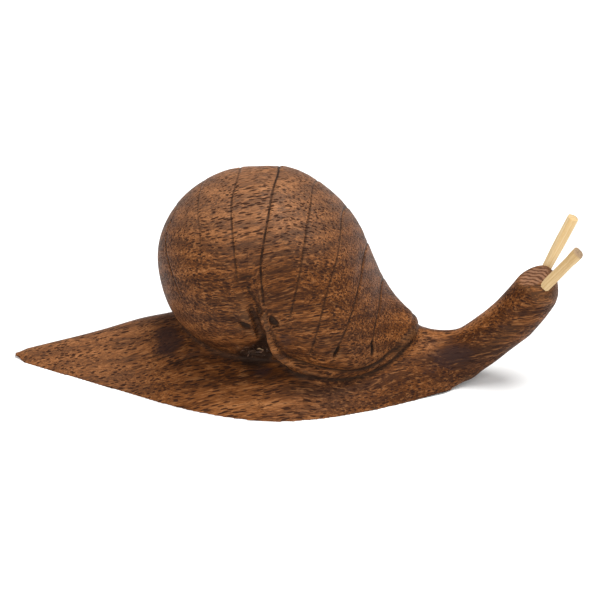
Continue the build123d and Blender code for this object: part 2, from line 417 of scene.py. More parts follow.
def run_distance(place, run):
    """How far each point is from a run in space, and the value carried along it."""
    best = np.full(len(place), 1e9)
    carried = np.zeros(len(place))
    for a, b in zip(run, run[1:]):
        way = b[:3] - a[:3]
        share = np.clip(((place - a[:3]) @ way) / (way @ way), 0, 1)
        gap = np.linalg.norm(place - a[:3] - share[:, None] * way, axis=1)
        nearer = gap < best
        best[nearer] = gap[nearer]
        carried[nearer] = (a[3] + share * (b[3] - a[3]))[nearer]
    return best, carried


def crevice_distance(place, edge):
    """How far each point is from one edge of the wedge, on either side, and its depth there."""
    near_side = np.stack([place[:, 0], -np.abs(place[:, 1]), place[:, 2]], 1)
    run = []
    for step in wedge_steps:
        depth = max(0.35, math.dist(step[FLARE_EDGE], step[BOTTOM]))
        run.append(step[edge] + (depth,))
    return run_distance(near_side, np.array(run))


def crevice_gap(place):
    """How far each point is from the nearest edge of the wedge."""
    edges = (FLARE_EDGE, BALL_EDGE, BOTTOM)
    return np.minimum.reduce([crevice_distance(place, edge)[0] for edge in edges])


def gouge_share(place, gouge):
    """1 in the middle of a gouge and 0 at its edge."""
    middle, way, long_half, wide_half = gouge[:4]
    way = np.array(way) / np.linalg.norm(way)
    off = place - middle
    along = off @ way
    across = np.linalg.norm(off - along[:, None] * way, axis=1)
    return np.clip(1 - (along / long_half)**2 - (across / wide_half)**2, 0, 1)


def line_field(place, outward):
    """The signed distance to the nearest growth line and the strength of that line there."""
    nearest = np.full(len(place), 9.0)
    strength = np.zeros(len(place))
    for number, (depth, stops) in enumerate(growth_lines):
        far = side_distance(place, outward, stops)
        depth = depth * (0.85 + 0.15 * np.sin(1.7 * place[:, 2] + 2.1 * number))
        top, bottom = stops[0][1], stops[-1][1]
        above = ramp(place[:, 2], bottom - 1.0, bottom + 2.5)
        fade = above * (1 - ramp(place[:, 2], top - 0.5, top + 1.5))
        nearer = (np.abs(far) < np.abs(nearest)) & (fade > 0.02)
        nearest[nearer] = far[nearer]
        strength[nearer] = (fade * depth)[nearer]
    return nearest, strength


# %% [markdown]
# ## Finer quads along the strokes
# First the steps that the voxels left are smoothed away, with more rounds where the real wood is
# calm: on the shell, the neck and the ground, but not near the rim or the crevice. A growth line
# is about half a millimetre wide, hardly wider than one of the skin's quads. Cutting every quad
# in four would make the mesh far too heavy, so only the quads near a stroke are cut.

# %% Read, smooth and write the points of a mesh, in millimetres
def mesh_arrays(mesh):
    place = np.empty(len(mesh.vertices) * 3)
    outward = np.empty(len(mesh.vertices) * 3)
    mesh.vertices.foreach_get("co", place)
    mesh.vertex_normals.foreach_get("vector", outward)
    return place.reshape(-1, 3) / MM, outward.reshape(-1, 3)


def smoothed(place, ends, rounds, pull, push_back=0.0):
    """Each point drawn towards the middle of its neighbours, and every other round back."""
    count = np.bincount(ends.ravel(), minlength=len(place))[:, None]
    for turn in range(rounds):
        step = -push_back if turn % 2 and push_back else pull
        total = np.stack([
            np.bincount(ends[:, 0], place[ends[:, 1], axis], len(place))
            + np.bincount(ends[:, 1], place[ends[:, 0], axis], len(place))
            for axis in range(3)
        ], 1)
        place = place + step * (total / count - place)
    return place


def edge_ends(mesh):
    ends = np.empty(len(mesh.edges) * 2, int)
    mesh.edges.foreach_get("vertices", ends)
    return ends.reshape(-1, 2)


def put_places(mesh, place):
    mesh.vertices.foreach_set("co", (place * MM).ravel())
    mesh.update()


# %% Smooth the skin
first_rounds, calm_rounds, nose_rounds = 8, 90, 160
place, outward = mesh_arrays(skin)
ends = edge_ends(skin)
place = smoothed(place, ends, first_rounds, 0.5, 0.52)
clear_of_rim = ramp(run_distance(place, rim_path)[0], 1.6, 3.2)
clear_of_crevice = ramp(crevice_gap(place), 0.8, 2.4)
above_foot = ramp(place[:, 2], 13.0, 17.0) * clear_of_rim * clear_of_crevice
on_shell = above_foot * (1 - ramp(place[:, 0], 36.0, 38.0))
on_head = ramp(place[:, 0], 40.0, 44.0)
near_ground = 1 - ramp(place[:, 2], 1.0, 2.5)
calm = np.maximum(np.maximum(on_shell, on_head), near_ground)[:, None]
place = place + calm * (smoothed(place, ends, calm_rounds, 0.5, 0.51) - place)
foot_nose = cloud(place, (50.5, 0, 1.5), (6.0, 10.0, 4.5))[:, None]
place = place + foot_nose * (smoothed(place, ends, nose_rounds, 0.5) - place)
on_ground = (outward[:, 2] < -0.7) & (place[:, 2] < 0.6) & (place[:, 0] < 46)
place[on_ground, 2] = 0
put_places(skin, place)

# %% Cut the quads near the strokes
place, outward = mesh_arrays(skin)
nearest, strength = line_field(place, outward)
near_stroke = (np.abs(nearest) < 0.8) & (strength > 0.1)
near_stroke |= crevice_gap(place) < 0.6
for furrow in furrows:
    near_stroke |= run_distance(place, smooth_run(furrow))[0] < 1.2
for crack in cracks:
    near_stroke |= run_distance(place, smooth_run(crack))[0] < 0.6
for gouge in gouges:
    wider = gouge[:2] + (gouge[2] + 0.6, gouge[3] + 0.6)
    near_stroke |= gouge_share(place, wider) > 0
finer = bmesh.new()
finer.from_mesh(skin)
finer.verts.ensure_lookup_table()
cut_edges = [edge for edge in finer.edges if all(near_stroke[vert.index] for vert in edge.verts)]
bmesh.ops.subdivide_edges(finer, edges=cut_edges, cuts=1, use_grid_fill=True)
bmesh.ops.triangulate(finer, faces=[face for face in finer.faces if len(face.verts) > 4])
finer.to_mesh(skin)
finer.free()
print("refined skin of", triangles(skin), "triangles")

# %% [markdown]
# ## Carving
# Each stroke moves the points of the skin along their own outward direction. A growth line is a
# narrow cut with a low ridge in front of it and a faint fall behind it, because the knife lifts
# the wood there. The ball rolls in slowly towards the crevice that the wedge has cut.

# %% Growth lines and the ball's edge
line_depth, line_half_width = 0.26, 0.28
ridge_height, ridge_ahead = 0.02, 0.70
fall_depth, fall_behind = 0.08, 1.0
place, outward = mesh_arrays(skin)
nearest, strength = line_field(place, outward)
push = -line_depth * strength * bell(nearest, line_half_width)
push += ridge_height * strength * bell(nearest - ridge_ahead, 0.40)
push -= fall_depth * strength * bell(nearest + fall_behind, 1.0)

ball_edge_gap = crevice_distance(place, BALL_EDGE)[0]
behind = 1 - ramp(place[:, 0], 3.4, 4.4)
push -= 0.50 * bell(ball_edge_gap, 2.2) * behind
bottom_gap, reach = crevice_distance(place, BOTTOM)
# painted shade deep in the crevice
hollow_shade = np.clip(1.9 - 2.1 * bottom_gap / reach, 0, 1)

# %% Furrows, cracks and gouges
furrow_depth, crack_depth = 0.5, 0.16
# each furrow, crack and gouge also gets painted shade along its groove
for furrow in furrows:
    gap, depth = run_distance(place, smooth_run(furrow))
    push -= furrow_depth * depth * bell(gap, furrow_half_width)
    hollow_shade = np.maximum(hollow_shade, 0.8 * np.clip(depth, 0, 1) * bell(gap, 0.55))
for crack in cracks:
    gap, depth = run_distance(place, smooth_run(crack))
    push -= crack_depth * depth * bell(gap, crack_half_width)
    hollow_shade = np.maximum(hollow_shade, np.clip(depth, 0, 1) * bell(gap, crack_half_width))
for gouge in gouges:
    depth, darkness = gouge[4:]
    share = gouge_share(place, gouge)
    push -= depth * np.sqrt(share)
    hollow_shade = np.maximum(hollow_shade, darkness * np.clip(1.6 * share, 0, 1))

# %% The groove that sets off the rolled rim
rim_gap, rim_radius = run_distance(place, rim_path)
rim_edge = rim_gap - rim_radius
rim_there = ramp(rim_radius, 0.4, 1.0)
# painted shade along the rim's edge, stronger below the rim than above it
rim_line = bell(rim_edge - 0.40, 0.38) * rim_there
hollow_shade = np.maximum(hollow_shade, rim_line * np.where(place[:, 2] < 11.5, 0.95, 0.6))
on_rim = (1 - ramp(rim_edge, -0.1, 0.3)) * ramp(rim_radius, 0.8, 1.2)
push -= 0.30 * bell(rim_edge - 0.45, 0.35) * rim_there

# %% Fuller places, and the broad swells left by the carver's hand
for middle, reach, amount in fuller_places:
    push += amount * cloud(place, middle, reach)
swell_ways = (
    # waves ahead, across and up, and where they start
    (0.21, 0.10, 0.16, 0.4), (0.13, -0.24, 0.11, 1.7), (-0.17, 0.14, 0.25, 2.9),
    (0.34, 0.22, -0.19, 5.1), (0.08, 0.37, 0.31, 0.9),
)
swell = sum(np.sin(place @ way[:3] + way[3]) for way in swell_ways)
push += 0.05 * swell * ramp(place[:, 2], 0.3, 2.0)
carved = place + outward * push[:, None]

# %% The flat cut on the head and the point of the tail
facet_way = np.array(facet_facing) / np.linalg.norm(facet_facing)
over_facet = (carved - facet_middle) @ facet_way
on_head = ramp(carved[:, 0], 57.0, 59.0)
carved -= (np.clip(over_facet, 0, None) * on_head)[:, None] * facet_way
facet = np.clip(over_facet / 0.5, 0, 1) * on_head
tip, tip_draw = (0, 0, 0.9), (0, 0.62, 0.62)
carved += ramp(-carved[:, 0], 52.3, 55.0)[:, None] * tip_draw * (tip - carved)
inside_low = np.array(cad_box[0]) / MM + (0.02, 0.02, 0)
inside_high = np.array(cad_box[1]) / MM - 0.02
put_places(skin, np.clip(carved, inside_low, inside_high))
print("deepest cut %.2f mm, highest ridge %.2f mm" % (-push.min(), push.max()))

# %% [markdown]
# ## What the wood remembers, and painted shade and light
# Hollows and creases get painted shade, and edges that stand out get lighter, partly from wear
# and partly as a painted highlight. Concave places are found by comparing the skin with a
# smoothed copy of itself. Dark mineral stains and lighter or darker wood stand where the real
# block has them, and the lighter and darker patches also carry painted light and shade. Faces
# that look up, high on the shell and the tail, get a painted sheen. All this is kept as
# attributes of the points, which a material can read.

# %% Dark stains, and lighter or darker wood that also carries painted light and shade
stains = (
    # middle, size ahead, across and up, strength
    ((-18.5, -7, 9), (5, 5.5, 4), 1),
    ((-12, -11, 9), (5, 2.6, 2.5), 0.75),
    ((3.6, -15.2, 7.6), (2.6, 2.2, 2), 0.9),
    ((9.4, -18.6, 16.6), (2.6, 3, 4.2), 0.8),
    ((46, -5.5, 8.5), (6, 4, 3.5), 1),
    ((8.5, -17, 11.5), (2.6, 3, 2.6), 0.75),
    ((58, -5, 19.9), (1.1, 1.6, 0.9), 1),
    ((61, -4.8, 19.5), (2, 1.6, 0.6), 0.95),
    ((57.4, -4.8, 16.3), (2.3, 1.6, 0.8), 0.95),
    ((40.5, -7.5, 5.5), (4.5, 3.5, 3.5), 0.7),
    ((-16, 8, 9.5), (6, 5, 4), 0.8),
    ((12, 16, 7), (5, 3, 3), 0.6),
    ((48, 4.5, 9.5), (6, 3, 4), 0.7),
)
tone_and_light_patches = (
    # middle, size, how much lighter: the wood's own colour and painted light and shade
    ((-38, 0, 5), (16, 13, 8), 0.25),
    ((-2, -23, 3.5), (20, 5, 4.5), 0.70),
    ((42, -4, 13), (6, 5, 3), 0.80),
    ((-10, -17, 34), (6, 8, 7), 0.25),
    ((8, -18, 38), (6, 8, 7), -0.25),
    ((2, 0, 47), (18, 22, 7), 0.45),
    ((51, -6, 10.5), (11, 5.5, 8), -0.90),
    ((4, -21, 29), (12, 8, 8), -0.20),
    ((15, -19, 6), (20, 4, 2.5), -0.45),
    ((0, -16, 8.5), (14, 5, 3), -0.35),
    ((49, 0, 16.5), (9, 4, 4), 0.95),
    ((34, -15, 5), (8, 8, 5), -0.55),
    ((19, -20, 3.5), (9, 6, 4), -0.45),
    ((48, -3, 17), (12, 3, 3), 0.25),
)

# %% Keep it all as attributes of the points
place, outward = mesh_arrays(skin)
tone_and_light = sum(amount * cloud(place, middle, size) for middle, size, amount in tone_and_light_patches)
# painted highlight along the rolled rim
tone_and_light += 0.55 * on_rim
low_down = (1 - ramp(place[:, 2], 8.5, 12.0)) * (1 - ramp(place[:, 0], 36, 46))
even = low_down * (1 - on_rim)
high_up = np.maximum(ramp(place[:, 2], 28, 44), 0.6 * ramp(-place[:, 0], 16, 30))
# painted sheen: faces that look up, high on the shell and the tail, turn paler and greyer
painted_sheen = ramp(outward[:, 2], 0.1, 0.95) * high_up
softer = smoothed(place, edge_ends(skin), 14, 0.5)
bend = ((softer - place) * outward).sum(1)
# concave places: painted shade
crease = np.clip(bend / 0.16, 0, 1)
# convex edges: wear and a painted highlight
worn_and_highlit = np.clip(-bend / 0.14, 0, 1)
stain = np.zeros(len(place))
for middle, size, amount in stains:
    stain = np.maximum(stain, amount * cloud(place, middle, size))
# painted shade in the creases as well as in the strokes and the crevice
hollow_shade = np.clip(np.maximum(hollow_shade, 0.65 * crease), 0, 1)
kept_values = {
    "line_far": nearest, "line_strength": strength, "hollow_shade": hollow_shade, "worn_and_highlit": worn_and_highlit,
    "stain": stain, "facet": facet, "tone_and_light": tone_and_light, "painted_sheen": painted_sheen, "even": even,
}
for title, values in kept_values.items():
    layer = skin.attributes.new(title, "FLOAT", "POINT")
    layer.data.foreach_set("value", values.astype(np.float32))

# %% [markdown]
# ## Waxed hardwood
# The block's fibres run from tail to head and rise a little. The pores are long tubes, so they
# show as dashes on the sides and as dots where the knife crossed the fibres. One pattern does
# both when it is solid: cells stretched along the fibres, in the object's own coordinates. Bands
# of lighter and darker wood lie across them, and the attributes add stains, painted shade in the
# knife lines and hollows, worn edges with a painted highlight, a painted sheen on faces that look
# up, and patches of painted light and shade.

# %% Helpers for materials
def tree_of(*values):
    """The node tree of the first value that is a socket."""
    return next(value.id_data for value in values if isinstance(value, bpy.types.NodeSocket))


def reckon(how, a, b=0.0, clamp=False):
    tree = tree_of(a, b)
    return put(tree, "ShaderNodeMath", {0: a, 1: b}, operation=how, use_clamp=clamp).outputs[0]


def times(a, b):
    return reckon("MULTIPLY", a, b)


def plus(a, b):
    return reckon("ADD", a, b)


def minus(a, b):
    return reckon("SUBTRACT", a, b)


def shared(value, *parts):
    """The value with its share of each part added."""
    for part, share in parts:
        value = plus(value, times(part, share))
    return value


def between(value, low, high, to_low=0.0, to_high=1.0):
    """A smooth step of a value, from to_low at low to to_high at high."""
    given = {"Value": value, "From Min": low, "From Max": high, "To Min": to_low, "To Max": to_high}
    step = put(value.id_data, "ShaderNodeMapRange", given, interpolation_type="SMOOTHSTEP")
    return step.outputs["Result"]


def blend_colour(amount, low, high):
    given = {0: amount, 6: low, 7: high}
    return put(tree_of(amount, low, high), "ShaderNodeMix", given, data_type="RGBA").outputs[2]


def layered(colour, *layers):
    """The colour with tints laid over it, each by its amount."""
    for amount, tint in layers:
        colour = blend_colour(amount, colour, tint)
    return colour


def moved(where, **change):
    return put(where.id_data, "ShaderNodeMapping", {"Vector": where, **change}).outputs["Vector"]


def noise(where, detail, rough=0.5, scale=1.0, kind="Fac"):
    given = {"Vector": where, "Scale": scale, "Detail": detail, "Roughness": rough}
    return put(where.id_data, "ShaderNodeTexNoise", given).outputs[kind]


def cells(where, scale=1.0):
    given = {"Vector": where, "Scale": scale}
    return put(where.id_data, "ShaderNodeTexVoronoi", given).outputs["Distance"]


def relief(height, strength, deep_mm):
    given = {"Height": height, "Strength": strength, "Distance": deep_mm * MM}
    return put(height.id_data, "ShaderNodeBump", given).outputs["Normal"]


def end_shaded(tree, look):
    shader = put(tree, "ShaderNodeBsdfPrincipled", look).outputs[0]
    put(tree, "ShaderNodeOutputMaterial", {"Surface": shader})


# %% The grain's own coordinates, in millimetres along the fibres
wood = cleared(waxed_wood)
grain_turn = (0, math.radians(7), math.radians(-6))
wood_place = put(wood, "ShaderNodeTexCoord").outputs["Object"]
wood_grain = moved(wood_place, Rotation=grain_turn, Scale=(1000, 1000, 1000))
wood_drift = noise(wood_grain, 2.0, scale=0.05, kind="Color")
wood_wavy = wood_drift
for how, amount in (("SUBTRACT", (0.5, 0.5, 0.5)), ("MULTIPLY", (0, 5.0, 5.0)), ("ADD", wood_grain)):
    given = {0: wood_wavy, 1: amount}
    wood_wavy = put(wood, "ShaderNodeVectorMath", given, operation=how).outputs[0]


def stretched(along, across):
    """The wavy grain with its own scale along and across the fibres."""
    return moved(wood_wavy, Scale=(along, across, across))


# %% Bands and fibres
ring_middle = moved(wood_wavy, Location=(0, 30, 24), Scale=(0.02, 1, 1))
ring_far = put(wood, "ShaderNodeVectorMath", {0: ring_middle}, operation="LENGTH").outputs["Value"]
ring_pace, ring_wander = 1.55, 9.0
ring_noise = times(noise(stretched(0.03, 0.22), 3.0, 0.55), ring_wander)
ring_wave = reckon("SINE", plus(times(ring_far, ring_pace), ring_noise))
ring_band = between(ring_wave, -1.0, 1.0)
wide_patch = noise(stretched(0.04, 0.10), 3.0, 0.6)
fibre = noise(stretched(0.16, 3.2), 4.0, 0.65)
fine_fibre = noise(stretched(0.5, 9.0), 3.0, 0.6)
streak = noise(stretched(0.30, 1.9), 2.0)
streak_dark = between(streak, 0.55, 0.66)
streak_light = between(streak, 0.44, 0.34)

# %% Pores
pore_big = cells(stretched(0.36, 1.80))
pore_small = cells(stretched(0.62, 3.3))
pore_rich = noise(stretched(0.08, 0.30), 2.0)
pore_reach = between(pore_rich, 0.3, 0.7, 0.30, 0.40)
pore_big_dark = between(minus(pore_reach, pore_big), -0.02, 0.07)
pore_small_dark = times(between(pore_small, 0.30, 0.16), 0.55)
pores = reckon("MAXIMUM", pore_big_dark, pore_small_dark)

# %% Tints, and how the wood reads an attribute
wood_pale = (0.360, 0.150, 0.052, 1)
wood_amber = (0.210, 0.070, 0.017, 1)
wood_brown = (0.096, 0.030, 0.007, 1)
wood_deep = (0.036, 0.011, 0.004, 1)
pore_tint = (0.022, 0.007, 0.004, 1)
stain_tint = (0.026, 0.011, 0.010, 1)
# painted shade for knife lines, strokes, hollows and creases
painted_shade_tint = (0.012, 0.005, 0.003, 1)
# wear and a painted highlight on the edges
worn_and_highlit_tint = (0.36, 0.190, 0.090, 1)
# painted sheen on faces that look up
painted_sheen_tint = (0.34, 0.21, 0.14, 1)
facet_dark, facet_light = (0.105, 0.044, 0.023, 1), (0.345, 0.178, 0.100, 1)


def told(title):
    """An attribute that the carving carries."""
    kept = put(wood, "ShaderNodeAttribute", attribute_name=title, attribute_type="GEOMETRY")
    return kept.outputs["Fac"]


# %% Colour of the wood itself
middle_figure = 0.515
figure = times(wide_patch, 0.14)
figure = shared(figure, (ring_band, 0.06), (fibre, 0.42), (fine_fibre, 0.36))
unlike = minus(1.0, times(told("even"), 0.25))
figure = plus(times(minus(figure, middle_figure), unlike), middle_figure)
# lighter and darker patches, with the painted highlight on the rim: the wood's own colour and painted
# light and shade
figure = shared(figure, (told("even"), 0.008), (told("tone_and_light"), 0.11))
wood_tone = put(wood, "ShaderNodeValToRGB", {"Fac": between(figure, 0.38, 0.65)})
tone_steps = wood_tone.color_ramp.elements
tone_steps[0].color = wood_deep
tone_steps[1].color = wood_pale
for spot, tint in ((0.36, wood_brown), (0.72, wood_amber)):
    tone_steps.new(spot).color = tint
wood_colour = layered(
    wood_tone.outputs["Color"],
    (times(streak_light, 0.35), wood_pale),
    (times(times(streak_dark, 0.75), unlike), wood_deep),
    # painted sheen
    (times(told("painted_sheen"), 0.18), painted_sheen_tint),
    (times(pores, 0.9), pore_tint),
)

# %% Stains, and worn edges with a painted highlight
fibre_edge, fine_edge, rich_edge = (minus(part, 0.5) for part in (fibre, fine_fibre, pore_rich))
stain_edge = shared(told("stain"), (fibre_edge, 1.5), (fine_edge, 1.2), (rich_edge, 1.2))
stained = times(between(stain_edge, 0.40, 0.90, 0.0, 0.85), between(told("stain"), 0.05, 0.25))
# edges lighter from wear and a painted highlight
edge_light = between(told("worn_and_highlit"), 0.4, 1.0, 0.0, 0.10)
wood_colour = layered(wood_colour, (stained, stain_tint), (edge_light, worn_and_highlit_tint))

# %% Painted shade in the knife lines and the hollows, and the rings on the flat cut
line_wander = reckon("ABSOLUTE", shared(told("line_far"), (fine_edge, 0.35)))
line_core = times(between(line_wander, 0.34, 0.10), told("line_strength"))
# painted shade along the knife lines
line_broken = times(line_core, between(fine_fibre, 0.25, 0.55, 0.45, 1.0))
facet_place = moved(wood_wavy, Location=(-58.0, 19.0, 0))
facet_rings = put(
    wood, "ShaderNodeTexWave",
    {"Vector": facet_place, "Scale": 0.36, "Distortion": 6.0, "Detail": 2.0, "Detail Scale": 1.2},
    wave_type="RINGS", rings_direction="Z",
).outputs["Fac"]
facet_tint = blend_colour(between(facet_rings, 0.05, 0.8), facet_dark, facet_light)
# painted shade in the hollows, creases and strokes
painted_shade_amount = between(told("hollow_shade"), 0.12, 0.95, 0.0, 0.92)
wood_colour = layered(
    wood_colour,
    (line_broken, painted_shade_tint), (times(told("facet"), 0.68), facet_tint), (painted_shade_amount, painted_shade_tint),
)

# %% Relief and wax
wood_height = minus(times(fibre, 0.35), pores)
wood_height = shared(wood_height, (fine_fibre, 0.25), (line_core, -1.6))
wood_rough = between(fibre, 0.25, 0.75, 0.62, 0.44)
wood_rough = reckon("ADD", wood_rough, times(pores, 0.2), clamp=True)
end_shaded(wood, {
    "Base Color": wood_colour, "Roughness": wood_rough, "Normal": relief(wood_height, 0.55, 0.16),
    "Specular IOR Level": 0.16, "Specular Tint": (1.0, 0.82, 0.66, 1),
})

skin.materials.clear()
skin.materials.append(waxed_wood)
skin.shade_smooth()
carving = keep_piece("carving", skin)
print("carving of", triangles(skin), "triangles")

# %% [markdown]
# ## Split bamboo pegs
# The tentacles are slivers split off a bamboo cane: straight fibres, flat sides with soft
# corners, a cut end. Each could be the solid's own peg with a new material, but the real ones
# show ridges of fibre, and one swells at its end while the other is thinner where it enters the
# head. So a peg is built ring by ring from a rounded section, with its ridges in the mesh, on the
# axis that the solid's peg gives.

# %% A peg's axis, read from the solid
def peg_axis(node):
    """The middle of the peg's inner and outer end and its direction, in millimetres."""
    spots = mesh_arrays(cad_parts[node].data)[0]
    middle = (spots.max(0) + spots.min(0)) / 2
    way = np.linalg.svd(spots - spots.mean(0), full_matrices=False)[2][0]
    way = way * np.sign(way[2])
    along = (spots - middle) @ way
    return middle + way * along.min(), middle + way * along.max(), way


# %% Build a peg ring by ring
def peg_ring(angle, share, along, wide, thick, taper, swelling, phase, length):
    """How far each point of a ring lies to the side, up and back from the peg's middle."""
    size = 1 - taper * (1 - ramp(share, 0.25, 0.75)) + swelling * ramp(share, 0.82, 0.92)
    near_end = np.clip((along - (length - 0.35)) / 0.35, 0, 1)
    size -= (0.07 if swelling == 0 else 0.22) * near_end**2
    fine_ridge = np.sin(angle * 29 + phase * 2 + 0.4 * np.sin(along * 0.7))
    ridge = 1 + 0.018 * np.sin(angle * 17 + phase) + 0.012 * fine_ridge
    flatness = 3.2
    round_out = (np.abs(np.cos(angle))**flatness + np.abs(np.sin(angle))**flatness)**(-1 / flatness)
    side = wide / 2 * np.cos(angle) * round_out * ridge * size
    rise = thick / 2 * np.sin(angle) * round_out * ridge * size
    slant = 0.12 * np.cos(angle + phase) * ramp(share, 0.9, 1.0)
    return side, rise, slant


def bamboo_peg(name, node, wide, thick, taper, swelling, phase, nudge):
    """A peg on the axis of the solid's node. The phase makes its ridges its own."""
    inner, outer, way = peg_axis(node)
    inner, outer = inner + nudge, outer + nudge
    length = np.linalg.norm(outer - inner)
    across = np.cross((0, 0, 1), way)
    across /= np.linalg.norm(across)
    over = np.cross(way, across)
    around, rings = 72, 90
    angle = np.linspace(0, 2 * np.pi, around, endpoint=False)
    work = bmesh.new()
    coat = work.loops.layers.uv.new("UVMap")
    loops = []
    for step in range(rings):
        share = step / (rings - 1)
        along = length * share
        side, rise, slant = peg_ring(angle, share, along, wide, thick, taper, swelling, phase, length)
        middle = inner + way * along + across * 0.06 * math.sin(along * 0.35 + phase)
        spots = middle + side[:, None] * across + rise[:, None] * over - slant[:, None] * way
        loops.append([work.verts.new(Vector(spot) * MM) for spot in spots])
    for row, (low, high) in enumerate(zip(loops, loops[1:])):
        for column in range(around):
            after = (column + 1) % around
            face = work.faces.new((low[column], low[after], high[after], high[column]))
            for loop, (right, up) in zip(face.loops, ((0, 0), (1, 0), (1, 1), (0, 1))):
                loop[coat].uv = ((column + right) / around, (row + up) / (rings - 1))
    for ring, outward_way in ((loops[0], -1), (loops[-1], 1)):
        centre = sum((vert.co for vert in ring), Vector()) / around
        inside = [work.verts.new(centre + (vert.co - centre) * 0.5) for vert in ring]
        hub = work.verts.new(centre + Vector(way) * (0.06 * outward_way * MM))
        past_end = 1.02 if outward_way > 0 else -0.02
        for column in range(around):
            after = (column + 1) % around
            collar = (ring[column], ring[after], inside[after], inside[column])
            for corners in (collar, (inside[column], inside[after], hub)):
                for loop in work.faces.new(corners).loops:
                    loop[coat].uv = (column / around, past_end)
    bmesh.ops.recalc_face_normals(work, faces=work.faces)
    mesh = finished(work, name)
    mesh.shade_smooth()
    print(name, "is %.1f mm long, %d triangles" % (length, triangles(mesh)))
    return keep_piece(name, mesh)


# how far the real pegs sit from the solid's, in millimetres
near_nudge, far_nudge = (-0.28, 0.55, -0.28), (-0.12, 0, 0.05)
near_peg = bamboo_peg("near_peg", "right_tentacle", 2.80, 2.40, 0.0, 0.10, 1.3, near_nudge)
far_peg = bamboo_peg("far_peg", "left_tentacle", 2.66, 2.20, 0.16, 0.0, 4.1, far_nudge)

# %% [markdown]
# ## Bamboo
# Bamboo is pale straw with fine darker bundles of fibre that run its whole length and end in
# small dots on a cut face. The pattern has to follow each peg, so it reads the peg's own UV map:
# one way round the peg, the other along it.

# %% Bamboo material
def darker(tint, red, green, blue):
    return (tint[0] * red, tint[1] * green, tint[2] * blue, 1)


def bamboo(name, straw, amber, end_tint, end_reach):
    material = bpy.data.materials.new(name)
    tree = cleared(material)
    coat = put(tree, "ShaderNodeUVMap", uv_map="UVMap").outputs["UV"]
    up_peg = put(tree, "ShaderNodeSeparateXYZ", {"Vector": coat}).outputs["Y"]
    bundle = noise(moved(coat, Scale=(26, 1.6, 1)), 3.0, 0.6)
    hair = noise(moved(coat, Scale=(70, 4.5, 1)), 2.0, 0.6)
    dots = cells(put(tree, "ShaderNodeTexCoord").outputs["Object"], 3400.0)
    on_cut = between(up_peg, 1.0, 1.015)
    cut_dots = times(on_cut, between(dots, 0.45, 0.2, 0.0, 0.8))
    colour = layered(
        blend_colour(between(bundle, 0.35, 0.68), straw, amber),
        (between(hair, 0.55, 0.78, 0.0, 0.55), darker(amber, 0.62, 0.52, 0.42)),
        (between(up_peg, 1.0 - end_reach, 1.0, 0.0, 0.75), end_tint),
        (cut_dots, darker(end_tint, 0.4, 0.4, 0.4)),
        (between(up_peg, 0.34, 0.24, 0.0, 0.6), (0.30, 0.17, 0.07, 1)),
    )
    height = shared(bundle, (hair, 0.5))
    end_shaded(tree, {
        "Base Color": colour, "Roughness": between(bundle, 0.3, 0.7, 0.5, 0.66),
        "Normal": relief(height, 0.5, 0.08), "Specular IOR Level": 0.4,
    })
    return material


weathered_bamboo = bamboo(
    "weathered_bamboo", (0.66, 0.475, 0.245, 1), (0.52, 0.335, 0.140, 1), (0.24, 0.155, 0.10, 1), 0.035
)
fresh_bamboo = bamboo(
    "fresh_bamboo", (0.80, 0.610, 0.345, 1), (0.70, 0.470, 0.205, 1), (0.62, 0.44, 0.22, 1), 0.01
)
near_peg.data.materials.append(weathered_bamboo)
far_peg.data.materials.append(fresh_bamboo)

# %% [markdown]
# ## Splinters left in the crevice
# Where ball, rim and foot meet, the knife could not clean up: pale slivers and dark ends of
# fibre stick out of the corner. They are many and alike, so Geometry Nodes scatter them over a
# small patch of the carving, each a thin bent blade, turned and sized by a fixed seed.

# %% A patch of the carving in the corner, and one splinter
def corner_patch(side):
    """The skin's faces in the corner below the ball, as a mesh of their own."""
    work = bmesh.new()
    work.from_mesh(skin)
    middle = Vector((0.6, side * 14.8, 11.4)) * MM
    size = Vector((5.0, 3.4, 2.6)) * MM
    away = []
    for face in work.faces:
        off = face.calc_center_median() - middle
        if (off.x / size.x)**2 + (off.y / size.y)**2 + (off.z / size.z)**2 > 1:
            away.append(face)
    bmesh.ops.delete(work, geom=away, context="FACES")
    return finished(work, "corner")


def splinter_mesh():
    """A thin bent blade, one millimetre long."""
    work = bmesh.new()
    rows = 7
    corners = ((1, 0), (0, 0.6), (-1, 0), (0, -0.6))
    strips = []
    for row in range(rows):
        share = row / (rows - 1)
        half = 0.11 * (1 - 0.75 * share) * MM
        middle = Vector((0.10 * share**2, 0.05 * math.sin(3 * share), share)) * MM
        strips.append([work.verts.new(middle + Vector((half * x, half * y, 0))) for x, y in corners])
    tube(work, strips)
    bmesh.ops.recalc_face_normals(work, faces=work.faces)
    return finished(work, "splinter")


# %% Scatter the splinters
def splinter_tree():
    wanted = {
        "Splinter": "Object", "Density": "Float", "Shortest": "Float", "Longest": "Float",
        "Seed": "Int", "Finish": "Material",
    }
    tree, called = growing_tree("splinters", wanted)
    given = put(tree, "NodeGroupInput").outputs
    seed = given["Seed"]
    over = {"Mesh": given["Geometry"], "Density": given["Density"], "Seed": seed}
    spots = put(tree, "GeometryNodeDistributePointsOnFaces", over).outputs["Points"]
    blade = put(tree, "GeometryNodeObjectInfo", {"Object": given["Splinter"]}).outputs["Geometry"]
    turns = {0: (-0.35, 0.1, -3.1), 1: (1.25, 1.35, 3.1), "Seed": seed}
    turn = put(tree, "FunctionNodeRandomValue", turns, data_type="FLOAT_VECTOR").outputs[0]
    lengths = {2: given["Shortest"], 3: given["Longest"], "Seed": seed}
    length = put(tree, "FunctionNodeRandomValue", lengths, data_type="FLOAT").outputs[1]
    scatter = {"Points": spots, "Instance": blade, "Rotation": turn, "Scale": length}
    blades = put(tree, "GeometryNodeInstanceOnPoints", scatter).outputs["Instances"]
    end_painted(tree, blades, given["Finish"])
    return tree, called


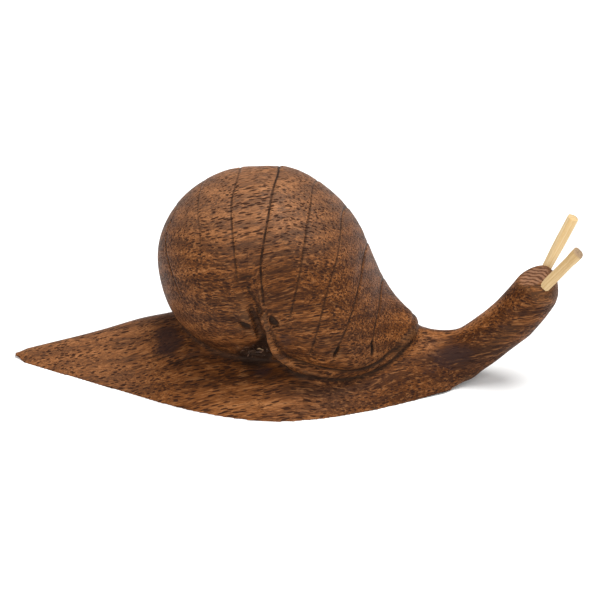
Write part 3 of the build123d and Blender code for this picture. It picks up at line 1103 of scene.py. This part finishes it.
def splinter_finish(name, root_tint, tip_tint):
    material = bpy.data.materials.new(name)
    tree = cleared(material)
    patch = noise(put(tree, "ShaderNodeTexCoord").outputs["Object"], 2.0, scale=900.0)
    end_shaded(tree, {
        "Base Color": blend_colour(between(patch, 0.35, 0.65), root_tint, tip_tint),
        "Roughness": between(patch, 0.3, 0.7, 0.55, 0.75),
        "Normal": relief(patch, 0.3, 0.05),
    })
    return material


pale_splinter = splinter_finish("torn_fibre_pale", (0.20, 0.10, 0.045, 1), (0.50, 0.33, 0.17, 1))
dark_splinter = splinter_finish("torn_fibre_dark", (0.030, 0.014, 0.009, 1), (0.13, 0.06, 0.03, 1))
one_splinter = keep_piece("one_splinter", splinter_mesh())
splinter_nodes, splinter_called = splinter_tree()
splinters = []
for name, side, material, density, shortest, longest, seed in (
    ("near_pale_splinters", -1, pale_splinter, 1.2e5, 1.2, 2.8, 4),
    ("near_dark_splinters", -1, dark_splinter, 1.6e6, 0.7, 2.0, 9),
    ("far_pale_splinters", 1, pale_splinter, 1.0e5, 1.0, 2.4, 12),
    ("far_dark_splinters", 1, dark_splinter, 1.4e6, 0.7, 1.8, 15),
):
    values = {
        "Splinter": one_splinter, "Density": density, "Shortest": shortest, "Longest": longest,
        "Seed": seed, "Finish": material,
    }
    mesh = grown(corner_patch(side), name, splinter_nodes, splinter_called, values)
    splinters.append(keep_piece(name, mesh))
    print(name, "has", len(mesh.polygons) // len(one_splinter.data.polygons), "splinters")
bpy.data.objects.remove(one_splinter)

# %% [markdown]
# ## Everything rides on the one body
# The snail has no joints, so every piece rides on the body that the frame calls root. The skin
# and the pegs stand for the solid's nodes.

# %% Tell the frame
for piece, node, slot in (
    (carving, "snail_carving", "carved_wood"),
    (far_peg, "left_tentacle", "split_bamboo"),
    (near_peg, "right_tentacle", "split_bamboo"),
):
    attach(piece, "root")
    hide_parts(node)
for piece in splinters:
    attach(piece, "root")

# %% [markdown]
# ## A white table, soft light and the camera
# The photo was taken on white, under a large soft light from above. The floor is a matt white
# sheet that keeps the snail's shadow. Its own colour makes it white, with a little help that
# only the camera sees, so no extra light falls on the wood.

# %% Floor
floor_mesh = bpy.data.meshes.new("floor")
floor_half = 4.0
floor_ways = ((-1, -1), (1, -1), (1, 1), (-1, 1))
floor_corners = [(x * floor_half, y * floor_half, 0) for x, y in floor_ways]
floor_mesh.from_pydata(floor_corners, [], [(0, 1, 2, 3)])
floor = keep_piece("floor", floor_mesh)
paper = bpy.data.materials.new("white_paper")
sheet = cleared(paper)
seen = put(sheet, "ShaderNodeLightPath").outputs["Is Camera Ray"]
matt = put(sheet, "ShaderNodeBsdfDiffuse", {"Color": (0.90, 0.90, 0.895, 1)}).outputs[0]
glow = {"Color": (1, 1, 1, 1), "Strength": times(seen, 0.12)}
lift = put(sheet, "ShaderNodeEmission", glow).outputs[0]
both = put(sheet, "ShaderNodeAddShader", {0: matt, 1: lift}).outputs[0]
put(sheet, "ShaderNodeOutputMaterial", {"Surface": both})
floor_mesh.materials.append(paper)

# %% Light
world = bpy.data.worlds.new("white_studio")
bpy.context.scene.world = world
studio = cleared(world)
studio_seen = put(studio, "ShaderNodeLightPath").outputs["Is Camera Ray"]
studio_strength = between(studio_seen, 0.0, 1.0, 0.42, 1.0)
studio_light = {"Color": (1, 1, 1, 1), "Strength": studio_strength}
studio_back = put(studio, "ShaderNodeBackground", studio_light).outputs[0]
put(studio, "ShaderNodeOutputWorld", {"Surface": studio_back})


def aimed(name, thing, spot, way):
    """Hang a lamp or a camera at a spot, looking one way."""
    holder = keep_piece(name, thing)
    holder.location = spot
    holder.rotation_euler = way.to_track_quat("-Z", "Y").to_euler()
    return holder


def soft_lamp(name, spot, power):
    """A round lamp that looks at the snail."""
    lamp = bpy.data.lights.new(name, "AREA")
    lamp.shape = "DISK"
    lamp.size = 1.2
    lamp.energy = power
    aimed(name, lamp, spot, -Vector(spot))


soft_lamp("overhead", (0.46, -0.02, 1.85), 41)
soft_lamp("front", (-0.5, -1.8, 1.0), 15)

# %% Camera
azimuth, elevation = math.radians(5.9), math.radians(26.5)
to_right = Vector((math.cos(azimuth), math.sin(azimuth), 0))
level = math.cos(elevation)
to_camera = Vector((math.sin(azimuth) * level, -math.cos(azimuth) * level, math.sin(elevation)))
to_top = to_camera.cross(to_right)
camera_far = 923
aim = Vector((0, 0, 20)) + 10.2 * to_right - 2.4 * to_top
eye = bpy.data.cameras.new("camera")
eye.sensor_fit = "HORIZONTAL"
eye.sensor_width = 36
eye.lens = 246.2
eye.clip_start = 0.05
camera_spot = (aim + camera_far * to_camera) * MM
bpy.context.scene.camera = aimed("camera", eye, camera_spot, -to_camera)
bpy.context.scene.view_settings.view_transform = "Standard"
